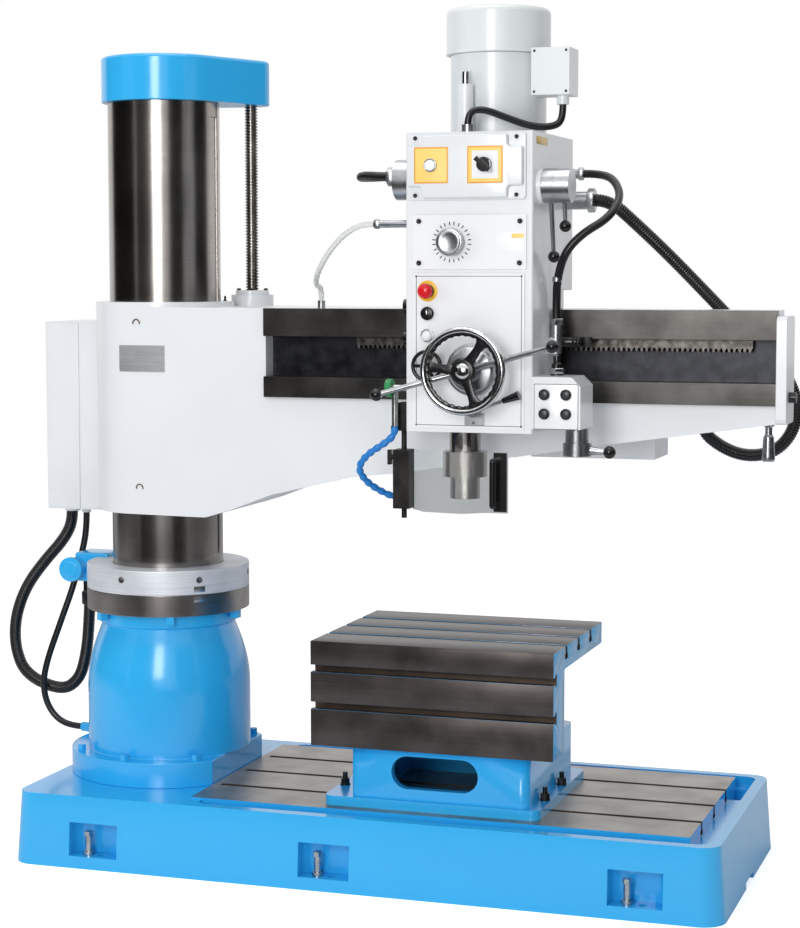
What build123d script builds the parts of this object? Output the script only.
from build123d import *
import math
import os

os.makedirs("parts", exist_ok=True)

# Radial drilling machine, in millimetres. X runs along the base towards the arm's tip, -Y is the
# operator's side, Z is up. The origin is on the floor, on the column's axis.

# Clearances between pieces
RUN = 0.3          # radial or axial gap where one piece turns or slides in another
SEAT = 0.05        # gap between pieces that are fitted together for good
MOVE = 5.0         # least gap between pieces that pass each other

# Base casting
BASE_LEFT = -280.0
BASE_RIGHT = 1605.0
BASE_HALF = 408.0
BASE_HEIGHT = 189.0
BASE_DRAFT = 4.1           # degrees
BASE_CORNER = 60.0
RIM_WIDTH = 29.0
CHANNEL_DEPTH = 30.0
CHANNEL_START = 235.0
BED_LEFT = 205.0
BED_RIGHT = 1511.0
BED_HALF = 328.0
BED_TOP = 194.0
SLOT_PITCH = 174.0
SLOT_THROAT = 18.0
SLOT_HEAD = 30.0
SLOT_THROAT_DEPTH = 20.0
SLOT_HEAD_DEPTH = 13.0
SLOT_START = 226.0
SUMP_LENGTH = 120.0
SUMP_DEPTH = 30.0
NICHE_CENTRES = [-40.0, 598.0, 1393.0]
NICHE_WIDTH = 136.0
NICHE_FLOOR = 32.0
NICHE_TOP = 120.0
NICHE_DEPTH = 62.0
ANCHOR_RADIUS = 11.0
ANCHOR_OFFSET = 14.0
JACK_OFFSET = -24.0
JACK_RADIUS = 9.0
JACK_LENGTH = 62.0
PLUG_NOTCH = 24.0

# Pedestal that carries the column
FLANGE_RADIUS = 268.0
FLANGE_TOP = 256.0
FLANGE_FLAT = 202.0
BELL_RADIUS = 222.0
BELL_SHOULDER = 420.0
NECK_RADIUS = 180.0
NECK_Z = 598.0
COLLAR_RADIUS = 190.0
RING_Z = 638.5
RING_RADIUS = 221.0
RING_SPLIT = 696.0
RING_TOP = 761.0
SPIGOT_RADIUS = 120.0
SPIGOT_BOTTOM = 452.0
FOOT_BOLT_CIRCLE = 248.0
FOOT_BOLT_ANGLES = [-50.0, -95.0, -140.0, 175.0, 130.0, 85.0, 45.0]
NECK_BOLT_CIRCLE = 206.0
NECK_BOLT_COUNT = 6
NECK_BOLT_ANGLE = -5.0
HEX_HALF = 12.0

# Column
COLUMN_RADIUS = 150.0
COLUMN_TOP = 2000.0
KEYWAY_WIDTH = 36.0
KEYWAY_DEPTH = 4.0
KEYWAY_START = 785.0
CAP_RADIUS = 166.0
CAP_TOP = 2120.0
CAP_LOBE = 50.0
SCREW_X = 190.0
SCREW_Y = 157.0
SCREW_RADIUS = 18.0
SCREW_BOTTOM = 916.0

# Arm
HUB_RADIUS = 187.0
HUB_BOTTOM = 909.0
HUB_TOP = 1470.0
BOSS_RADIUS = 58.0
BOSS_TOP = 1487.0
NUT_RADIUS = 30.0
NUT_FLANGE = 46.0
NUT_FLANGE_THICK = 12.0
NUT_LENGTH = 150.0
ARM_TOP = 1457.0
ARM_RIGHT = 1688.0
ARM_FRONT = -222.0
ARM_TIP_REAR = -121.0
SKIRT = [(200.0, 909.0), (272.0, 931.0), (395.0, 977.0), (618.0, 1029.0), (736.0, 1042.0),
         (1238.0, 1122.0)]
SKIRT_TIP = 1186.0
WAY_FRONT = -240.0
WAY_THICK = 35.0
WAY_LEFT = 380.0
UPPER_WAY_BOTTOM = 1386.0
LOWER_WAY_BOTTOM = 1230.0
LOWER_WAY_TOP = 1283.0
RACK_POCKET = 32.0
RACK_LEFT = 620.0
RACK_END_GAP = 62.0
RACK_PITCH = 12.5664
RACK_HEIGHT = 30.0
RACK_THICK = 28.0
TOOTH_DEPTH = 9.0
END_PLATE_THICK = 26.0
END_PLATE_TOP = 1444.0
HANDLE_INSET = 24.0
HANDLE_Y = -185.0
BUMPER_Y = -205.0
BUMPER_Z = 1250.0
BUMPER_LENGTH = 18.0
CABINET_LEFT = -386.0
CABINET_RIGHT = -190.0
CABINET_FRONT = 40.0
CABINET_DEPTH = 250.0
CABINET_BOTTOM = 889.0
CABINET_TOP = 1412.0
JUNCTION_LEFT = 1020.0
JUNCTION_RIGHT = 1346.0
JUNCTION_BOTTOM = 1072.0
JUNCTION_TOP = 1330.0
JUNCTION_DEPTH = 170.0

# Drill head
HEAD_LEFT = 846.0
HEAD_RIGHT = 1157.0
HEAD_FRONT = -490.0
HEAD_REAR = -105.0
HEAD_BOTTOM = 1170.0
HEAD_TOP = 1876.0
HEAD_STEP = 1504.0
SADDLE_FRONT = -275.0
SADDLE_HOOK = -190.0
SADDLE_BOTTOM = 1192.0
LID_PROUD = 22.0
LID_RIGHT = 1141.0
LID_BOTTOM = 1716.0
MOTOR_X = 1003.0
MOTOR_Y = -240.0
MOTOR_RADIUS = 117.0
MOTOR_TOP = 2073.0
COWL_RADIUS = 127.0
COWL_TOP = 2184.0
COVER_RADIUS = 18.5
COVER_TOP = 1996.0

# Spindle and quill
SPINDLE_X = 958.0
SPINDLE_Y = -370.0
QUILL_RADIUS = 38.0
QUILL_TOP = 1490.0
QUILL_STROKE = 250.0
NOSE_HOUSING_RADIUS = 54.0
NOSE_HOUSING_TOP = 1116.0
NOSE_HOUSING_BOTTOM = 1055.5
NOSE_RADIUS = 36.3
NOSE_BOTTOM = 1002.0
SHAFT_RADIUS = 24.0
TAPER_MOUTH = 15.6
TAPER_DEPTH = 118.0
TAPER_END = 12.6
DRIFT_WIDTH = 12.0
DRIFT_HEIGHT = 42.0

# Controls on the head's front
FEED_X = 1012.0
FEED_Z = 1319.5
DIAL_RADIUS = 53.0
DIAL_THICK = 22.0
HUB_BOSS_RADIUS = 26.0
HUB_BOSS_THICK = 18.0
LEVER_HUB_RADIUS = 24.0
LEVER_HUB_THICK = 24.0
LEVER_SPIGOT = 14.0
LEVER_REACH = 221.0
LEVER_ANGLE = 15.4
LEVER_DISH = 26.0
BALL_RADIUS = 15.0
WHEEL_SHAFT = 8.0
WHEEL_RADIUS = 98.0
WHEEL_RIM = 7.5
WHEEL_HUB = 19.0
WHEEL_PLANE = -575.0
FINE_X = 908.0
FINE_Z = 1328.0
FINE_RADIUS = 34.0
FINE_RIM = 4.5
TRIP_X = 1021.0
TRIP_Z = 1222.0
TRIP_ANGLE = 20.0
TRIP_REACH = 118.0
SPEED_X = 961.0
SPEED_Z = 1619.0
SPEED_RADIUS = 44.0
SPEED_KNOB = 33.0
LID_BUTTON_X = 914.0
SELECTOR_X = 1047.0
LID_SWITCH_Z = 1798.0
LID_KNOB_RADIUS = 16.0

# Button box, start lever and gear levers on the head's right
BOX_RIGHT = 1275.0
BOX_FRONT = -500.0
BOX_REAR = -375.0
BOX_BOTTOM = 1183.0
BOX_TOP = 1305.0
START_X = 1251.0
START_Y = -430.0
START_RADIUS = 34.0
START_LENGTH = 78.0
DRUM_Y = -430.0
DRUM_Z = 1750.0
DRUM_RADIUS = 41.0
DRUM_LENGTH = 78.0

# Guard and coolant on the head's left
POST_X = 822.0
POST_Y = -430.0
POST_RADIUS = 6.5
GUARD_BOTTOM = 975.0
GUARD_TOP = 1122.0
GUARD_THICK = 4.0
GUARD_PLAN = [(841.0, -413.0), (881.0, -463.0), (983.0, -482.0), (1030.0, -442.0), (1086.0, -442.0)]

# Box table
TABLE_LEFT = 536.0
TABLE_RIGHT = 1170.0
TABLE_FRONT = -322.0
TABLE_REAR = 198.0
TABLE_TOP = 620.0
TABLE_FACE_BOTTOM = 352.0
TABLE_SLAB = 55.0
TABLE_FOOT_LEFT = 628.0
TABLE_FOOT_RIGHT = 1098.0
TABLE_BODY_REAR = 60.0
TABLE_FLANGE_TOP = 219.0
TABLE_FLANGE_LEFT = 560.0
TABLE_FLANGE_RIGHT = 1128.0


def block(x0, x1, y0, y1, z0, z1):
    return Pos((x0 + x1) / 2, (y0 + y1) / 2, (z0 + z1) / 2) * Box(x1 - x0, y1 - y0, z1 - z0)


def post(radius, z0, z1, x=0.0, y=0.0):
    return Pos(x, y, (z0 + z1) / 2) * Cylinder(radius, z1 - z0)


def rod_x(radius, x0, x1, y, z):
    return Pos((x0 + x1) / 2, y, z) * Rot(0, 90, 0) * Cylinder(radius, x1 - x0)


def rod_y(radius, y0, y1, x, z):
    return Pos(x, (y0 + y1) / 2, z) * Rot(90, 0, 0) * Cylinder(radius, y1 - y0)


def bar(start, end, r0, r1):
    a = Vector(*start)
    b = Vector(*end)
    plane = Plane(origin=a, z_dir=b - a)
    length = (b - a).length
    if abs(r0 - r1) < 0.01:
        return plane * Pos(0, 0, length / 2) * Cylinder(r0, length)
    return plane * Pos(0, 0, length / 2) * Cone(r0, r1, length)


def ball_lever(start, end, r0, r1, ball):
    """A tapered rod from start to end with a ball round its end, turned as one piece."""
    a = Vector(*start)
    b = Vector(*end)
    length = (b - a).length
    seat = length - math.sqrt(ball ** 2 - r1 ** 2)
    with BuildSketch(Plane.XZ) as half:
        with BuildLine():
            Polyline((0, 0), (r0, 0), (r1, seat))
            ThreePointArc((r1, seat), (ball, length), (0, length + ball))
            Line((0, length + ball), (0, 0))
        make_face()
    return Plane(origin=a, z_dir=b - a) * revolve(half.sketch, Axis.Z)


def save(name, shape):
    shape = Compound(children=list(shape.solids())) if len(shape.solids()) > 1 else shape.solid()
    export_step(shape, f"parts/{name}.step")


def hexagon_head(x, y, z0, height):
    return Pos(x, y, z0) * extrude(RegularPolygon(HEX_HALF, 6), height)


def tee_slot(length, top):
    """One T-slot cutter along X from the origin, below a surface at z = top."""
    throat = block(0, length, -SLOT_THROAT / 2, SLOT_THROAT / 2, top - SLOT_THROAT_DEPTH, top + 1)
    head_top = top - SLOT_THROAT_DEPTH
    head = block(0, length, -SLOT_HEAD / 2, SLOT_HEAD / 2, head_top - SLOT_HEAD_DEPTH, head_top)
    return throat + head


def base_casting():
    length = BASE_RIGHT - BASE_LEFT
    centre = (BASE_LEFT + BASE_RIGHT) / 2
    inset = BASE_HEIGHT * math.tan(math.radians(BASE_DRAFT))
    foot = Pos(centre, 0) * RectangleRounded(length, 2 * BASE_HALF, BASE_CORNER)
    casting = extrude(foot, BASE_HEIGHT, taper=BASE_DRAFT)
    inner_half = BASE_HALF - inset - RIM_WIDTH
    inner_right = BASE_RIGHT - inset - RIM_WIDTH
    floor = BASE_HEIGHT - CHANNEL_DEPTH
    channel = Pos((CHANNEL_START + inner_right) / 2, 0, floor) * extrude(
        RectangleRounded(inner_right - CHANNEL_START, 2 * inner_half, BASE_CORNER - RIM_WIDTH),
        CHANNEL_DEPTH + 1)
    casting -= channel
    casting += block(BED_LEFT, BED_RIGHT, -BED_HALF, BED_HALF, floor - 1, BED_TOP)
    casting -= block(BED_RIGHT, inner_right, inner_half - SUMP_LENGTH - BASE_CORNER / 2,
                     inner_half - BASE_CORNER / 2, floor - SUMP_DEPTH, floor + 1)
    for row in (-1, 0, 1):
        slot = tee_slot(BED_RIGHT - SLOT_START + 1, BED_TOP)
        casting -= Pos(SLOT_START, row * SLOT_PITCH, 0) * slot
    for x in NICHE_CENTRES:
        for side in (-1, 1):
            width = Pos(x, side * BASE_HALF, NICHE_FLOOR)
            niche = extrude(RectangleRounded(NICHE_WIDTH, 2 * NICHE_DEPTH, 30.0),
                            NICHE_TOP - NICHE_FLOOR)
            casting -= width * niche
            casting -= post(ANCHOR_RADIUS, -1, NICHE_FLOOR + 1, x + ANCHOR_OFFSET,
                            side * (BASE_HALF - NICHE_DEPTH / 2))
    casting -= Pos(BASE_RIGHT, 0, 0) * Rot(0, 45, 0) * Box(PLUG_NOTCH, 110.0, PLUG_NOTCH)
    return casting


def jack_screws():
    shapes = []
    for x in NICHE_CENTRES:
        for side in (-1, 1):
            px = x + JACK_OFFSET
            py = side * (BASE_HALF - NICHE_DEPTH / 2)
            pad = post(15.0, NICHE_FLOOR, NICHE_FLOOR + 10, px, py)
            shank = post(JACK_RADIUS, NICHE_FLOOR + 10, NICHE_FLOOR + JACK_LENGTH, px, py)
            head = hexagon_head(px, py, NICHE_FLOOR + JACK_LENGTH - 12, 12.0)
            shapes.append(pad + shank + head)
    return Compound(children=shapes)


def column_pedestal():
    with BuildSketch(Plane.XZ) as half:
        with BuildLine():
            Polyline((SPIGOT_RADIUS + RUN, BED_TOP), (FLANGE_RADIUS, BED_TOP),
                     (FLANGE_RADIUS, FLANGE_TOP), (BELL_RADIUS, FLANGE_TOP),
                     (BELL_RADIUS, BELL_SHOULDER))
            Spline((BELL_RADIUS, BELL_SHOULDER), (NECK_RADIUS, NECK_Z),
                   tangents=[(0, 1), (-0.42, 1)])
            Polyline((NECK_RADIUS, NECK_Z), (COLLAR_RADIUS, NECK_Z + 6), (COLLAR_RADIUS, RING_Z),
                     (SPIGOT_RADIUS + RUN, RING_Z), (SPIGOT_RADIUS + RUN, BED_TOP))
        make_face()
    bell = revolve(half.sketch, Axis.Z)
    bell += post(FLANGE_RADIUS, BASE_HEIGHT, BED_TOP)
    bell -= post(SPIGOT_RADIUS + RUN, SPIGOT_BOTTOM - RUN, RING_Z + 1)
    bell += post(SPIGOT_RADIUS + RUN + 1, BED_TOP, SPIGOT_BOTTOM - RUN)
    bell -= block(FLANGE_FLAT, FLANGE_RADIUS + 1, -FLANGE_RADIUS, FLANGE_RADIUS,
                  BASE_HEIGHT - 1, FLANGE_TOP + 1)
    bell += post(BELL_RADIUS, FLANGE_TOP, FLANGE_TOP + 1)
    return bell


def pedestal_fittings():
    """Foot bolts, neck bolts and the gland that the supply lead enters."""
    shapes = [rod_x(13.0, -296, -272, 56, 269) + block(-276, -250, 44, 68, FLANGE_TOP, 282)]
    for angle in FOOT_BOLT_ANGLES:
        a = math.radians(angle)
        x = FOOT_BOLT_CIRCLE * math.cos(a)
        y = FOOT_BOLT_CIRCLE * math.sin(a)
        shapes.append(hexagon_head(x, y, FLANGE_TOP, 16.0))
    for i in range(NECK_BOLT_COUNT):
        a = math.radians(NECK_BOLT_ANGLE + i * 360 / NECK_BOLT_COUNT)
        x = NECK_BOLT_CIRCLE * math.cos(a)
        y = NECK_BOLT_CIRCLE * math.sin(a)
        shapes.append(Pos(x, y, RING_Z - 11) * Rot(0, 0, math.degrees(a)) * Box(22, 22, 22))
    return Compound(children=shapes)


def lower_clamp_ring():
    return post(RING_RADIUS, RING_Z, RING_SPLIT - RUN) - post(SPIGOT_RADIUS + RUN, RING_Z - 1,
                                                              RING_SPLIT)


def column_clamp_unit():
    """Clamp housing bolted to the rear left of the lower ring, with its cylinder sticking out."""
    angle = 158.0
    a = math.radians(angle)
    reach = RING_RADIUS + MOVE
    frame = Pos(reach * math.cos(a), reach * math.sin(a), 0) * Rot(0, 0, angle)
    foot = frame * block(-MOVE, 24, -45, 45, RING_Z + 4, RING_SPLIT - 8)
    foot -= post(RING_RADIUS, RING_Z, RING_TOP)
    plate = frame * block(8, 24, -45, 45, RING_Z + 4, RING_TOP + 30)
    body = frame * block(16, 60, -70, 70, RING_SPLIT - 10, RING_TOP + 24)
    unit = foot + plate + body
    unit += rod_x(34.0, -362, -250, 60, 716)
    return unit


def box_table():
    bed = BED_TOP
    flange_width = TABLE_FLANGE_RIGHT - TABLE_FLANGE_LEFT
    flange_centre = (TABLE_FLANGE_LEFT + TABLE_FLANGE_RIGHT) / 2
    flange_front = TABLE_FRONT + 26
    flange_depth = TABLE_REAR - flange_front
    table = Pos(flange_centre, (TABLE_REAR + flange_front) / 2, bed) * extrude(
        RectangleRounded(flange_width, flange_depth, 24.0), TABLE_FLANGE_TOP - bed)
    foot_width = TABLE_FOOT_RIGHT - TABLE_FOOT_LEFT
    foot_front = TABLE_FRONT + 40
    foot_rear = TABLE_REAR - 22
    table += Pos((TABLE_FOOT_LEFT + TABLE_FOOT_RIGHT) / 2, (foot_front + foot_rear) / 2, bed) * extrude(
        RectangleRounded(foot_width, foot_rear - foot_front, 24.0), TABLE_FACE_BOTTOM - bed)
    with BuildSketch(Plane.YZ) as side:
        with BuildLine():
            Polyline((TABLE_FRONT, TABLE_FACE_BOTTOM), (TABLE_FRONT, TABLE_TOP), (TABLE_REAR, TABLE_TOP),
                     (TABLE_REAR, TABLE_TOP - TABLE_SLAB), (TABLE_BODY_REAR - 40, TABLE_TOP - 130),
                     (TABLE_BODY_REAR - 40, TABLE_FACE_BOTTOM), (TABLE_FRONT, TABLE_FACE_BOTTOM))
        make_face()
    upper = extrude(side.sketch, TABLE_RIGHT - TABLE_LEFT)
    table += Pos(TABLE_LEFT, 0, 0) * upper
    table -= block(TABLE_FOOT_LEFT + 24, TABLE_FOOT_RIGHT - 24, foot_front + 24, foot_rear - 24,
                   bed - 1, TABLE_FACE_BOTTOM - 20)
    width = TABLE_RIGHT - TABLE_LEFT
    for i in (1, 2, 3):
        slot = tee_slot(width + 2, TABLE_TOP)
        y = TABLE_FRONT + i * (TABLE_REAR - TABLE_FRONT) / 4
        table -= Pos(TABLE_LEFT - 1, y, 0) * slot
    for z in (TABLE_TOP - 70, TABLE_TOP - 165):
        slot = Pos(TABLE_LEFT - 1, 0, z) * Rot(90, 0, 0) * tee_slot(width + 2, 0)
        table -= Pos(0, TABLE_FRONT, 0) * slot
    window = Pos((740 + 965) / 2, foot_front, (247 + 331) / 2) * Rot(90, 0, 0)
    table -= window * extrude(SlotOverall(228, 84), 40, both=True)
    return table


def table_bolts():
    shapes = []
    for x in (TABLE_FLANGE_LEFT + 16, TABLE_FLANGE_RIGHT - 16):
        for row in (-1, 0):
            y = row * SLOT_PITCH
            washer = post(13.0, TABLE_FLANGE_TOP, TABLE_FLANGE_TOP + 4, x, y)
            nut = hexagon_head(x, y, TABLE_FLANGE_TOP + 4, 14.0)
            stud = post(6.5, TABLE_FLANGE_TOP, TABLE_FLANGE_TOP + 34, x, y)
            shapes.append(washer + nut + stud)
    return Compound(children=shapes)


def column():
    tube = post(COLUMN_RADIUS, RING_SPLIT, COLUMN_TOP)
    tube += post(SPIGOT_RADIUS, SPIGOT_BOTTOM, RING_SPLIT)
    angle = Rot(0, 0, -4)
    key = block(COLUMN_RADIUS - KEYWAY_DEPTH, COLUMN_RADIUS + 5, -KEYWAY_WIDTH / 2, KEYWAY_WIDTH / 2,
                KEYWAY_START, COLUMN_TOP - 40)
    return tube - angle * key


def upper_clamp_ring():
    ring = post(RING_RADIUS, RING_SPLIT, RING_TOP) - post(COLUMN_RADIUS + SEAT, RING_SPLIT - 1,
                                                          RING_TOP + 1)
    return chamfer(ring.edges().group_by(Axis.Z)[-1], 2.0)


def column_cap():
    with BuildSketch() as plan:
        Circle(CAP_RADIUS)
        with Locations((SCREW_X, SCREW_Y)):
            Circle(CAP_LOBE)
        make_hull()
    cap = Pos(0, 0, COLUMN_TOP) * extrude(plan.sketch, CAP_TOP - COLUMN_TOP)
    return fillet(cap.edges().group_by(Axis.Z)[-1], 10.0)


def elevating_screw():
    return post(SCREW_RADIUS, SCREW_BOTTOM, COLUMN_TOP, SCREW_X, SCREW_Y)


def arm_rear(x):
    """Y of the arm's rear face at a place along the arm."""
    start = SCREW_Y + BOSS_RADIUS * 0.6
    return start + (x - SCREW_X) * (ARM_TIP_REAR - start) / (ARM_RIGHT - SCREW_X)


def arm_plan():
    """The arm seen from above, as a solid over its whole height."""
    rear_start = arm_rear(SCREW_X)
    with BuildSketch() as plan:
        Circle(HUB_RADIUS)
        with Locations((SCREW_X, SCREW_Y)):
            Circle(BOSS_RADIUS)
        make_hull()
        with BuildLine():
            Polyline((-26, -HUB_RADIUS + 2), (WAY_LEFT, ARM_FRONT), (ARM_RIGHT, ARM_FRONT),
                     (ARM_RIGHT, ARM_TIP_REAR), (SCREW_X, rear_start), (0, 0), (-26, -HUB_RADIUS + 2))
        make_face()
    return Pos(0, 0, HUB_BOTTOM) * extrude(plan.sketch, ARM_TOP - HUB_BOTTOM)


def arm_side():
    """The arm seen from the front, as a solid deeper than the arm."""
    with BuildSketch(Plane.XZ) as side:
        with BuildLine():
            Polyline((-HUB_RADIUS - 10, HUB_BOTTOM), *SKIRT, (ARM_RIGHT, SKIRT_TIP),
                     (ARM_RIGHT, ARM_TOP), (-HUB_RADIUS - 10, ARM_TOP), (-HUB_RADIUS - 10, HUB_BOTTOM))
        make_face()
    return extrude(side.sketch, 2 * HUB_RADIUS, both=True)


def arm_casting():
    body = arm_plan() & arm_side()
    body += post(HUB_RADIUS, HUB_BOTTOM, HUB_TOP)
    body += post(BOSS_RADIUS, HUB_BOTTOM + 60, BOSS_TOP, SCREW_X, SCREW_Y)
    body -= block(WAY_LEFT, ARM_RIGHT + 1, ARM_FRONT - 1, WAY_FRONT + WAY_THICK,
                  LOWER_WAY_BOTTOM, ARM_TOP + 1)
    body -= block(WAY_LEFT, ARM_RIGHT + 1, ARM_FRONT - 1, WAY_FRONT + WAY_THICK + RACK_POCKET,
                  LOWER_WAY_TOP, UPPER_WAY_BOTTOM)
    body -= post(COLUMN_RADIUS + RUN, HUB_BOTTOM - 1, HUB_TOP + 1)
    body -= post(NUT_RADIUS + SEAT, HUB_BOTTOM - 1, BOSS_TOP + 1, SCREW_X, SCREW_Y)
    return body


def elevating_nut():
    nut = post(NUT_RADIUS, BOSS_TOP - NUT_LENGTH, BOSS_TOP, SCREW_X, SCREW_Y)
    nut += post(NUT_FLANGE, BOSS_TOP, BOSS_TOP + NUT_FLANGE_THICK, SCREW_X, SCREW_Y)
    nut -= post(SCREW_RADIUS + RUN, BOSS_TOP - NUT_LENGTH - 1, BOSS_TOP + NUT_FLANGE_THICK + 1,
                SCREW_X, SCREW_Y)
    return nut


def arm_way(z0, z1):
    return block(WAY_LEFT, ARM_RIGHT, WAY_FRONT, WAY_FRONT + WAY_THICK, z0, z1)


def gear_rack():
    """Rack screwed up under the upper way, with its teeth pointing down."""
    top = UPPER_WAY_BOTTOM
    root = top - RACK_HEIGHT + TOOTH_DEPTH
    tip = top - RACK_HEIGHT
    points = [(RACK_LEFT, top), (RACK_LEFT, root)]
    teeth = int((ARM_RIGHT - RACK_END_GAP - RACK_LEFT) / RACK_PITCH)
    for i in range(teeth):
        x = RACK_LEFT + i * RACK_PITCH
        points.append((x + 0.18 * RACK_PITCH, root))
        points.append((x + 0.36 * RACK_PITCH, tip))
        points.append((x + 0.64 * RACK_PITCH, tip))
        points.append((x + 0.82 * RACK_PITCH, root))
    right = RACK_LEFT + teeth * RACK_PITCH
    points += [(right, root), (right, top), (RACK_LEFT, top)]
    with BuildSketch(Plane.XZ) as profile:
        with BuildLine():
            Polyline(*points)
        make_face()
    front = WAY_FRONT + WAY_THICK + RACK_POCKET - RACK_THICK
    return Pos(0, front + RACK_THICK, 0) * extrude(profile.sketch, RACK_THICK)


def arm_end_plate():
    plate = block(ARM_RIGHT, ARM_RIGHT + END_PLATE_THICK, WAY_FRONT - 8, ARM_TIP_REAR,
                  SKIRT_TIP, END_PLATE_TOP)
    return fillet(plate.edges().filter_by(Axis.X), 14.0)


def arm_end_fittings():
    """Rubber bumper on the end plate and the turned handle that hangs under the arm's tip."""
    end = ARM_RIGHT + END_PLATE_THICK
    bumper = rod_x(13.0, end, end + BUMPER_LENGTH, BUMPER_Y, BUMPER_Z)
    with BuildSketch(Plane.XZ) as half:
        with BuildLine():
            Polyline((0, 0), (14, 0), (14, -9), (8.5, -14), (8.5, -30), (13, -38), (16, -90),
                     (14, -96), (0, -96), (0, 0))
        make_face()
    handle = Pos(ARM_RIGHT - HANDLE_INSET, HANDLE_Y, SKIRT_TIP + 4) * revolve(half.sketch, Axis.Z)
    handle -= arm_side()
    gland = block(1440, 1500, -140, -24, 1236, 1292) - arm_plan()
    gland += post(20.0, 1222, 1236, 1470, -46)
    union = post(10.0, ARM_TOP, ARM_TOP + 19, 512, -165)
    return Compound(children=[bumper, handle, gland, union])


def electrical_cabinet():
    cabinet = block(CABINET_LEFT, CABINET_RIGHT, CABINET_FRONT, CABINET_FRONT + CABINET_DEPTH,
                    CABINET_BOTTOM, CABINET_TOP)
    cabinet = fillet(cabinet.edges().filter_by(Axis.Z), 4.0)
    bracket = block(CABINET_RIGHT - 4, -100, 90, 190, 1000, 1300)
    bracket -= post(HUB_RADIUS, HUB_BOTTOM, HUB_TOP)
    cabinet += post(22.0, CABINET_BOTTOM - 17, CABINET_BOTTOM, -363, 150)
    cabinet += post(13.0, CABINET_BOTTOM - 17, CABINET_BOTTOM, -306, 120)
    return cabinet + bracket


def arm_junction_box():
    front = arm_rear(JUNCTION_LEFT)
    return block(JUNCTION_LEFT, JUNCTION_RIGHT, front, front + JUNCTION_DEPTH, JUNCTION_BOTTOM,
                 JUNCTION_TOP)


def saddle():
    """Carriage that hooks over the upper way and under the lower one."""
    plate = block(HEAD_LEFT, HEAD_RIGHT, SADDLE_FRONT, WAY_FRONT - RUN, SADDLE_BOTTOM, HEAD_STEP)
    hook = block(HEAD_LEFT, HEAD_RIGHT, SADDLE_FRONT, SADDLE_HOOK, ARM_TOP + RUN, HEAD_STEP)
    gib = block(HEAD_LEFT, HEAD_RIGHT, SADDLE_FRONT, ARM_FRONT - MOVE, SADDLE_BOTTOM,
                LOWER_WAY_BOTTOM - RUN)
    return plate + hook + gib


def head_housing():
    lower = block(HEAD_LEFT, HEAD_RIGHT, HEAD_FRONT, SADDLE_FRONT, HEAD_BOTTOM, HEAD_STEP)
    upper = block(HEAD_LEFT, HEAD_RIGHT, HEAD_FRONT, HEAD_REAR, HEAD_STEP, HEAD_TOP)
    housing = lower + upper
    housing = fillet(housing.edges().filter_by(Axis.Z).group_by(Axis.Y)[0], 6.0)
    housing -= post(QUILL_RADIUS + RUN, HEAD_BOTTOM - 1, QUILL_TOP + MOVE, SPINDLE_X, SPINDLE_Y)
    return housing + rod_x(DRUM_RADIUS, HEAD_RIGHT, HEAD_RIGHT + 12, DRUM_Y, DRUM_Z)


def control_box():
    wide = LID_RIGHT - HEAD_LEFT - 4
    high = HEAD_TOP - LID_BOTTOM - 2
    centre = Pos((HEAD_LEFT + 4 + LID_RIGHT) / 2, HEAD_FRONT, (HEAD_TOP - 2 + LID_BOTTOM) / 2)
    lid = centre * Rot(90, 0, 0) * extrude(RectangleRounded(wide, high, 8.0), LID_PROUD, taper=12)
    return lid


def front_panels():
    dials = block(865, 1142, HEAD_FRONT - 4, HEAD_FRONT, 1555, 1683)
    return Compound(children=[dials, block(866, 1138, HEAD_FRONT - 3, HEAD_FRONT, 1180, 1546)])


def control_buttons():
    """Emergency stop, key switch, lamp, the push button on the lid and those of the button box."""
    shapes = []
    stop = rod_y(24.0, HEAD_FRONT - 12, HEAD_FRONT - 3, 901, 1504)
    stop += rod_y(17.0, HEAD_FRONT - 36, HEAD_FRONT - 12, 901, 1504)
    shapes.append(stop)
    shapes.append(rod_y(15.0, HEAD_FRONT - 18, HEAD_FRONT - 3, 901, 1451))
    shapes.append(rod_y(15.0, HEAD_FRONT - 12, HEAD_FRONT - 3, 901, 1399))
    shapes.append(rod_y(LID_KNOB_RADIUS, HEAD_FRONT - LID_PROUD - 9, HEAD_FRONT - LID_PROUD, LID_BUTTON_X,
                        LID_SWITCH_Z))
    for x in (1189, 1241):
        for z in (1219, 1264):
            shapes.append(rod_y(12.0, BOX_FRONT - 9, BOX_FRONT, x, z))
    return Compound(children=shapes)


def selector_switch():
    y = HEAD_FRONT - LID_PROUD
    plate = rod_y(LID_KNOB_RADIUS + 1, y - 16, y - RUN, SELECTOR_X, LID_SWITCH_Z)
    return plate + Pos(SELECTOR_X, y - 21, LID_SWITCH_Z) * Rot(0, 40, 0) * Box(46, 10, 11)


def speed_dial():
    face = HEAD_FRONT - 4
    dial = rod_y(SPEED_RADIUS, face - 6, face - RUN, SPEED_X, SPEED_Z)
    return dial + rod_y(SPEED_KNOB, face - 30, face - 6, SPEED_X, SPEED_Z)


def motor():
    return post(MOTOR_RADIUS, HEAD_TOP, MOTOR_TOP, MOTOR_X, MOTOR_Y)


def motor_cowl():
    cowl = post(COWL_RADIUS, MOTOR_TOP, COWL_TOP, MOTOR_X, MOTOR_Y)
    return fillet(cowl.edges().group_by(Axis.Z)[-1], 14.0)


def motor_terminal_box():
    box = block(1112, 1206, -345, -255, 1968, 2080)
    box -= post(MOTOR_RADIUS + SEAT, HEAD_TOP, MOTOR_TOP + 50, MOTOR_X, MOTOR_Y)
    box -= post(COWL_RADIUS + SEAT, MOTOR_TOP, COWL_TOP, MOTOR_X, MOTOR_Y)
    return box + post(15.0, 1946, 1968, 1184, -318)


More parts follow.
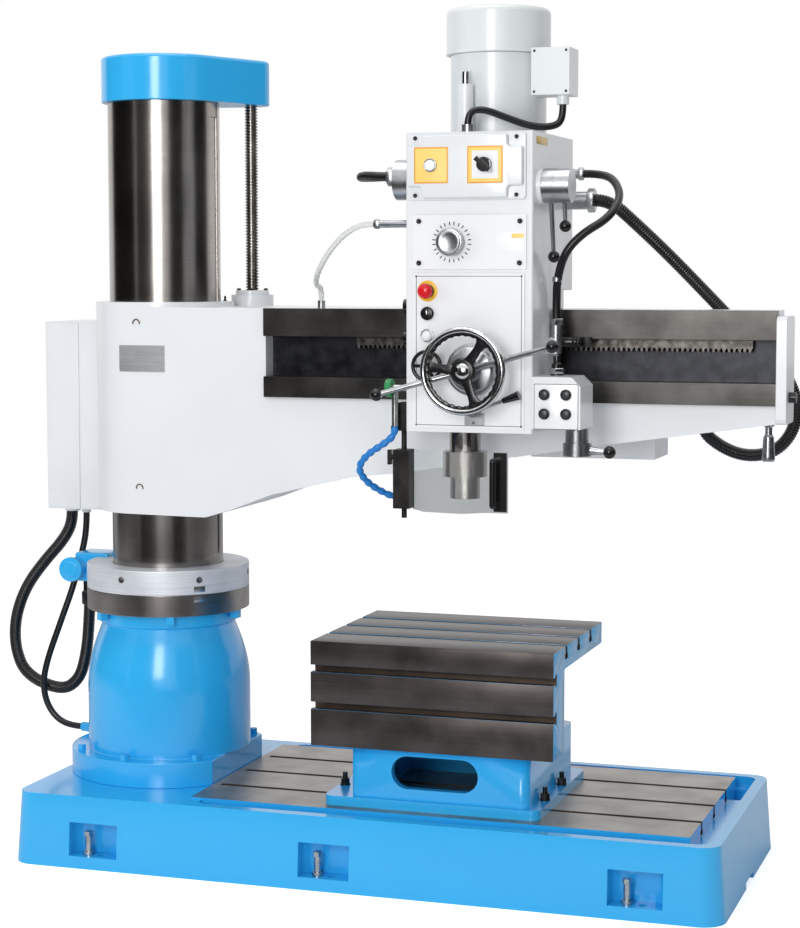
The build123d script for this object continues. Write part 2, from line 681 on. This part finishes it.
def spindle_cover():
    cover = post(COVER_RADIUS, HEAD_TOP, COVER_TOP, SPINDLE_X, SPINDLE_Y)
    return cover + post(9.0, COVER_TOP, COVER_TOP + 30, SPINDLE_X, SPINDLE_Y)


def button_box():
    box = block(HEAD_RIGHT, BOX_RIGHT, BOX_FRONT, BOX_REAR, BOX_BOTTOM, BOX_TOP)
    box = chamfer(box.edges().filter_by(Axis.Y).group_by(Axis.X)[-1].group_by(Axis.Z)[-1], 22.0)
    return box + post(28.0, BOX_BOTTOM - 36, BOX_BOTTOM, START_X, START_Y)


def start_lever():
    top = BOX_BOTTOM - 36 - RUN
    drum = post(START_RADIUS, top - 30, top, START_X, START_Y)
    return drum + ball_lever((START_X + 10, START_Y, top - 15), (START_X + START_LENGTH, START_Y, top - 20),
                             12, 7, BALL_RADIUS)


def shift_lever(x0, x1, reach, tilt):
    """Drum section with the lever that hangs from it; the two turn one inside the other's line."""
    drum = rod_x(DRUM_RADIUS, x0, x1, DRUM_Y, DRUM_Z)
    a = math.radians(tilt)
    x = (x0 + x1) / 2
    end = (x, DRUM_Y + reach * math.sin(a), DRUM_Z - reach * math.cos(a))
    start = (x, DRUM_Y + 20 * math.sin(a), DRUM_Z - 20 * math.cos(a))
    return drum + ball_lever(start, end, 6.5, 5, BALL_RADIUS - 1)


def feed_hub():
    y = HEAD_FRONT - 3
    hub = rod_y(DIAL_RADIUS, y - DIAL_THICK, y, FEED_X, FEED_Z)
    hub += rod_y(HUB_BOSS_RADIUS, y - DIAL_THICK - HUB_BOSS_THICK, y - DIAL_THICK, FEED_X, FEED_Z)
    return hub - rod_y(LEVER_SPIGOT + RUN, y - DIAL_THICK - HUB_BOSS_THICK - 1, y - 8, FEED_X, FEED_Z)


def feed_levers():
    face = HEAD_FRONT - 3 - DIAL_THICK - HUB_BOSS_THICK - RUN
    hub = rod_y(LEVER_HUB_RADIUS, face - LEVER_HUB_THICK, face, FEED_X, FEED_Z)
    hub += rod_y(LEVER_SPIGOT, face, face + 26, FEED_X, FEED_Z)
    middle = face - LEVER_HUB_THICK / 2
    a = math.radians(LEVER_ANGLE)
    for side in (-1, 1):
        dx = side * math.cos(a)
        dz = side * math.sin(a)
        start = (FEED_X + 12 * dx, middle, FEED_Z + 12 * dz)
        end = (FEED_X + LEVER_REACH * dx, middle - LEVER_DISH, FEED_Z + LEVER_REACH * dz)
        hub += ball_lever(start, end, 8.0, 6.5, BALL_RADIUS)
    return hub - rod_y(WHEEL_SHAFT + RUN, face - LEVER_HUB_THICK - 1, face + 27, FEED_X, FEED_Z)


def handwheel():
    back = HEAD_FRONT - 3 - DIAL_THICK - HUB_BOSS_THICK - RUN - LEVER_HUB_THICK - RUN
    wheel = rod_y(WHEEL_SHAFT, back, back + 44, FEED_X, FEED_Z)
    wheel += rod_y(WHEEL_HUB, WHEEL_PLANE - 12, back, FEED_X, FEED_Z)
    wheel += Pos(FEED_X, WHEEL_PLANE, FEED_Z) * Rot(90, 0, 0) * Torus(WHEEL_RADIUS, WHEEL_RIM)
    for angle in (54, 174, 294):
        spoke = Pos(0, 0, WHEEL_RADIUS / 2) * Box(20, 8, WHEEL_RADIUS - 4)
        wheel += Pos(FEED_X, WHEEL_PLANE, FEED_Z) * Rot(0, 90 - angle, 0) * spoke
    return wheel


def fine_feed_wheel():
    y = HEAD_FRONT - 3 - 29
    wheel = Pos(FINE_X, y, FINE_Z) * Rot(90, 0, 0) * Torus(FINE_RADIUS, FINE_RIM)
    wheel += rod_y(9.0, y - 5, HEAD_FRONT - 3 - RUN, FINE_X, FINE_Z)
    for angle in (30, 150, 270):
        spoke = Pos(0, 0, FINE_RADIUS / 2) * Box(8, 5, FINE_RADIUS)
        wheel += Pos(FINE_X, y, FINE_Z) * Rot(0, angle, 0) * spoke
    return wheel


def trip_lever():
    y = HEAD_FRONT - 3
    lever = rod_y(14.0, y - 30, y - RUN, TRIP_X, TRIP_Z)
    a = math.radians(TRIP_ANGLE)
    mid = (TRIP_X + (TRIP_REACH - 42) * math.cos(a), y - 22, TRIP_Z + (TRIP_REACH - 42) * math.sin(a))
    end = (TRIP_X + TRIP_REACH * math.cos(a), y - 22, TRIP_Z + TRIP_REACH * math.sin(a))
    lever += bar((TRIP_X, y - 22, TRIP_Z), mid, 4.5, 4.5)
    return lever + bar(mid, end, 6.5, 11.0)


def quill():
    sleeve = post(QUILL_RADIUS, NOSE_HOUSING_TOP, QUILL_TOP, SPINDLE_X, SPINDLE_Y)
    sleeve += post(NOSE_HOUSING_RADIUS, NOSE_HOUSING_BOTTOM, NOSE_HOUSING_TOP, SPINDLE_X, SPINDLE_Y)
    sleeve -= post(SHAFT_RADIUS + RUN, NOSE_HOUSING_BOTTOM - 1, QUILL_TOP + 1, SPINDLE_X, SPINDLE_Y)
    sleeve -= drift_slot()
    return sleeve


def drift_slot():
    z = NOSE_HOUSING_TOP + 4 + DRIFT_HEIGHT / 2
    slot = extrude(SlotOverall(DRIFT_HEIGHT, DRIFT_WIDTH), QUILL_RADIUS + 5, both=True)
    return Pos(SPINDLE_X, SPINDLE_Y, z) * Rot(90, 0, 0) * Rot(0, 0, 90) * slot


def spindle():
    nose = post(NOSE_RADIUS, NOSE_BOTTOM, NOSE_HOUSING_BOTTOM - RUN, SPINDLE_X, SPINDLE_Y)
    nose += post(SHAFT_RADIUS, NOSE_HOUSING_BOTTOM - RUN, QUILL_TOP, SPINDLE_X, SPINDLE_Y)
    taper = Pos(SPINDLE_X, SPINDLE_Y, NOSE_BOTTOM + TAPER_DEPTH / 2) * Cone(
        TAPER_MOUTH, TAPER_END, TAPER_DEPTH)
    return nose - taper - drift_slot()


def guard_post():
    foot = block(796, HEAD_LEFT - SEAT, POST_Y - 24, POST_Y + 24, HEAD_BOTTOM - 2, HEAD_BOTTOM + 10)
    foot += block(812, HEAD_LEFT - SEAT, POST_Y - 20, POST_Y + 20, HEAD_BOTTOM + 10, HEAD_BOTTOM + 66)
    return foot + post(POST_RADIUS, GUARD_BOTTOM - 20, HEAD_BOTTOM, POST_X, POST_Y)


def guard_shield():
    block_part = block(POST_X - 22, POST_X + 19, POST_Y - 22, POST_Y + 22, GUARD_BOTTOM + 4,
                       GUARD_TOP)
    block_part -= post(POST_RADIUS + RUN, GUARD_BOTTOM, GUARD_TOP + 1, POST_X, POST_Y)
    knob = rod_x(6, POST_X - 32, POST_X - 22, POST_Y, GUARD_TOP - 20)
    knob += block(POST_X - 41, POST_X - 32, POST_Y - 7, POST_Y + 7, GUARD_TOP - 38, GUARD_TOP - 2)
    sheet = Pos(0, 0, GUARD_BOTTOM) * extrude(trace(Polyline(*GUARD_PLAN), GUARD_THICK),
                                              GUARD_TOP - GUARD_BOTTOM)
    return block_part + knob + sheet


def guard_handle():
    x = GUARD_PLAN[-1][0] - 22
    y = GUARD_PLAN[-1][1] - GUARD_THICK / 2
    mid = (GUARD_BOTTOM + GUARD_TOP) / 2
    plate = block(x - 12, x + 20, y - 5, y - SEAT, GUARD_BOTTOM + 4, GUARD_TOP - 2)
    grip = post(8.0, mid - 52, mid + 52, x - 6, y - 34)
    for z in (mid - 52, mid + 52):
        grip += rod_y(8.0, y - 34, y - 5, x - 6, z) + Pos(x - 6, y - 34, z) * Sphere(8.0)
    return plate + grip


def coolant_valve():
    valve = rod_x(8.0, 806, HEAD_LEFT - SEAT, -470, 1272)
    valve += post(8.0, 1180, 1272, 812, -470)
    return valve + rod_x(22.0, 792, 806, -470, 1272)


def coolant_hose():
    points = [(812, -470, 1180), (812, -470, 1160), (786, -472, 1138), (740, -470, 1110),
              (712, -456, 1076), (722, -430, 1042), (752, -400, 1014), (788, -376, 996),
              (826, -364, 986)]
    return tube(points, 9.0, "coolant_hose")


def way_clamp_knobs():
    shapes = []
    for z in (1465, UPPER_WAY_BOTTOM):
        stem = rod_x(9.0, 800, HEAD_LEFT - SEAT, -262, z)
        knob = rod_x(17.0, 768, 784, -262, z) + rod_x(12.0, 784, 806, -262, z)
        shapes.append(stem + knob)
    return Compound(children=shapes)


def head_fittings():
    """Hose unions on the head's sides and the clamp cylinder on the saddle's right."""
    shapes = [rod_x(9.0, 746, HEAD_LEFT - SEAT, -430, 1664)]
    shapes.append(rod_x(48.0, 806, HEAD_LEFT - SEAT, -430, 1768))
    shapes.append(rod_x(12.0, HEAD_RIGHT + SEAT, 1192, -130, 1790))
    shapes.append(rod_x(22.0, HEAD_RIGHT + SEAT, 1226, -150, 1724))
    shapes.append(post(14.0, 1352, 1436, 1172, -322) + block(1157.1, 1172, -336, -308, 1352, 1392))
    shapes.append(block(HEAD_RIGHT + SEAT, 1240, -264, -242, 1369, 1392))
    shapes.append(rod_x(14.0, HEAD_LEFT - 24, HEAD_LEFT - SEAT, -250, 1784))
    shapes.append(post(15.0, HEAD_TOP, HEAD_TOP + 20, 981, -430))
    return Compound(children=shapes)


def arc_radii(points):
    """The radius at each corner: as large as the two runs beside it allow."""
    radii = []
    for a, b, c in zip(points, points[1:], points[2:]):
        into = Vector(*b) - Vector(*a)
        out = Vector(*c) - Vector(*b)
        turn = math.radians(into.get_angle(out))
        radii.append(0.45 * min(into.length, out.length) / math.tan(turn / 2))
    return radii


def tube(points, radius, name):
    """A round hose along straight runs joined by tangent arcs."""
    radii = arc_radii(points)
    path = FilletPolyline(*points, radius=radii)
    start = Plane(origin=path @ 0, z_dir=path % 0)
    hose = sweep(start * Circle(radius), path=path)
    volume = math.pi * radius ** 2 * path.length
    print(name, "length", round(path.length), "radii", [round(r) for r in radii],
          "volume ratio", round(hose.volume / volume, 3))
    return hose


# Hoses: each list is the route's points
SUPPLY_UPPER = [(-306, 120, 872), (-306, 120, 820), (-322, 110, 738), (-341, 95, 655),
                (-364, 79, 580), (-388, 66, 505)]
SUPPLY_LOWER = [(-388, 66, 505), (-412, 53, 430), (-414, 50, 355), (-388, 54, 298), (-342, 56, 269),
                (-296, 56, 269)]
CLAMP_UPPER = [(-366, 150, 872), (-366, 150, 836), (-396, 148, 784), (-450, 142, 726),
               (-508, 134, 650), (-541, 127, 560), (-540, 120, 470), (-500, 110, 394), (-440, 104, 376)]
CLAMP_LOWER = [(-440, 104, 376), (-380, 98, 358), (-322, 94, 396), (-300, 92, 466), (-290, 92, 540),
               (-286, 92, 614)]
HEAD_CONDUIT = [(1226, -150, 1724), (1262, -150, 1724), (1326, -128, 1664), (1400, -98, 1590),
                (1484, -58, 1498), (1572, -48, 1406), (1662, -46, 1326), (1710, -46, 1250),
                (1710, -46, 1170), (1668, -46, 1110), (1602, -46, 1092), (1536, -46, 1108),
                (1470, -46, 1158), (1470, -46, 1222)]
VENT_HOSE = [(1192, -130, 1790), (1226, -130, 1790), (1278, -180, 1776), (1314, -252, 1728),
             (1296, -312, 1676), (1238, -338, 1640), (1196, -344, 1594), (1176, -334, 1530),
             (1172, -322, 1474), (1172, -322, 1436)]
MOTOR_LEAD = [(1184, -318, 1946), (1184, -318, 1914), (1170, -330, 1894), (1120, -352, 1892),
              (1066, -380, 1912), (1014, -412, 1934), (981, -430, 1926), (981, -430, 1896)]
SIDE_HOSE = [(806, -440, 1776), (776, -440, 1776), (724, -430, 1780), (694, -390, 1778),
             (694, -320, 1780), (724, -268, 1784), (778, -250, 1784), (822, -250, 1784)]
FEED_TUBE = [(746, -430, 1664), (712, -430, 1664), (658, -404, 1640), (600, -364, 1592),
             (552, -310, 1540), (520, -226, 1514), (512, -165, 1512), (512, -165, 1476)]


def build():
    save("base_casting", base_casting())
    save("levelling_screws", jack_screws())
    save("column_pedestal", column_pedestal())
    save("pedestal_fittings", pedestal_fittings())
    save("lower_clamp_ring", lower_clamp_ring())
    save("column_clamp_unit", column_clamp_unit())
    save("box_table", box_table())
    save("table_bolts", table_bolts())
    save("supply_lead_lower", tube(SUPPLY_LOWER, 9.0, "supply_lead_lower"))
    save("clamp_hose_lower", tube(CLAMP_LOWER, 17.0, "clamp_hose_lower"))
    save("column", column())
    save("upper_clamp_ring", upper_clamp_ring())
    save("column_cap", column_cap())
    save("elevating_screw", elevating_screw())
    save("supply_lead_upper", tube(SUPPLY_UPPER, 9.0, "supply_lead_upper"))
    save("clamp_hose_upper", tube(CLAMP_UPPER, 17.0, "clamp_hose_upper"))
    save("arm_casting", arm_casting())
    save("elevating_nut", elevating_nut())
    save("upper_way", arm_way(UPPER_WAY_BOTTOM, ARM_TOP))
    save("lower_way", arm_way(LOWER_WAY_BOTTOM, LOWER_WAY_TOP))
    save("gear_rack", gear_rack())
    save("arm_end_plate", arm_end_plate())
    save("arm_end_fittings", arm_end_fittings())
    save("electrical_cabinet", electrical_cabinet())
    save("arm_junction_box", arm_junction_box())
    save("saddle", saddle())
    save("head_housing", head_housing())
    save("control_box", control_box())
    save("control_buttons", control_buttons())
    save("selector_switch", selector_switch())
    save("front_panels", front_panels())
    save("speed_dial", speed_dial())
    save("motor", motor())
    save("motor_cowl", motor_cowl())
    save("motor_terminal_box", motor_terminal_box())
    save("spindle_cover", spindle_cover())
    save("button_box", button_box())
    save("start_lever", start_lever())
    save("gear_lever_long", shift_lever(HEAD_RIGHT + 12 + RUN, HEAD_RIGHT + 40, 169, 12))
    save("gear_lever_short", shift_lever(HEAD_RIGHT + 40 + RUN, HEAD_RIGHT + DRUM_LENGTH, 95, 8))
    save("feed_hub", feed_hub())
    save("feed_levers", feed_levers())
    save("handwheel", handwheel())
    save("fine_feed_wheel", fine_feed_wheel())
    save("trip_lever", trip_lever())
    save("quill", quill())
    save("spindle", spindle())
    save("guard_post", guard_post())
    save("guard_shield", guard_shield())
    save("guard_handle", guard_handle())
    save("coolant_valve", coolant_valve())
    save("coolant_hose", coolant_hose())
    save("way_clamp_knobs", way_clamp_knobs())
    save("head_fittings", head_fittings())
    save("head_conduit", tube(HEAD_CONDUIT, 16.0, "head_conduit"))
    save("vent_hose", tube(VENT_HOSE, 10.0, "vent_hose"))
    save("motor_lead", tube(MOTOR_LEAD, 8.5, "motor_lead"))
    save("side_hose", tube(SIDE_HOSE, 11.0, "side_hose"))
    save("feed_tube", tube(FEED_TUBE, 7.0, "feed_tube"))


build()
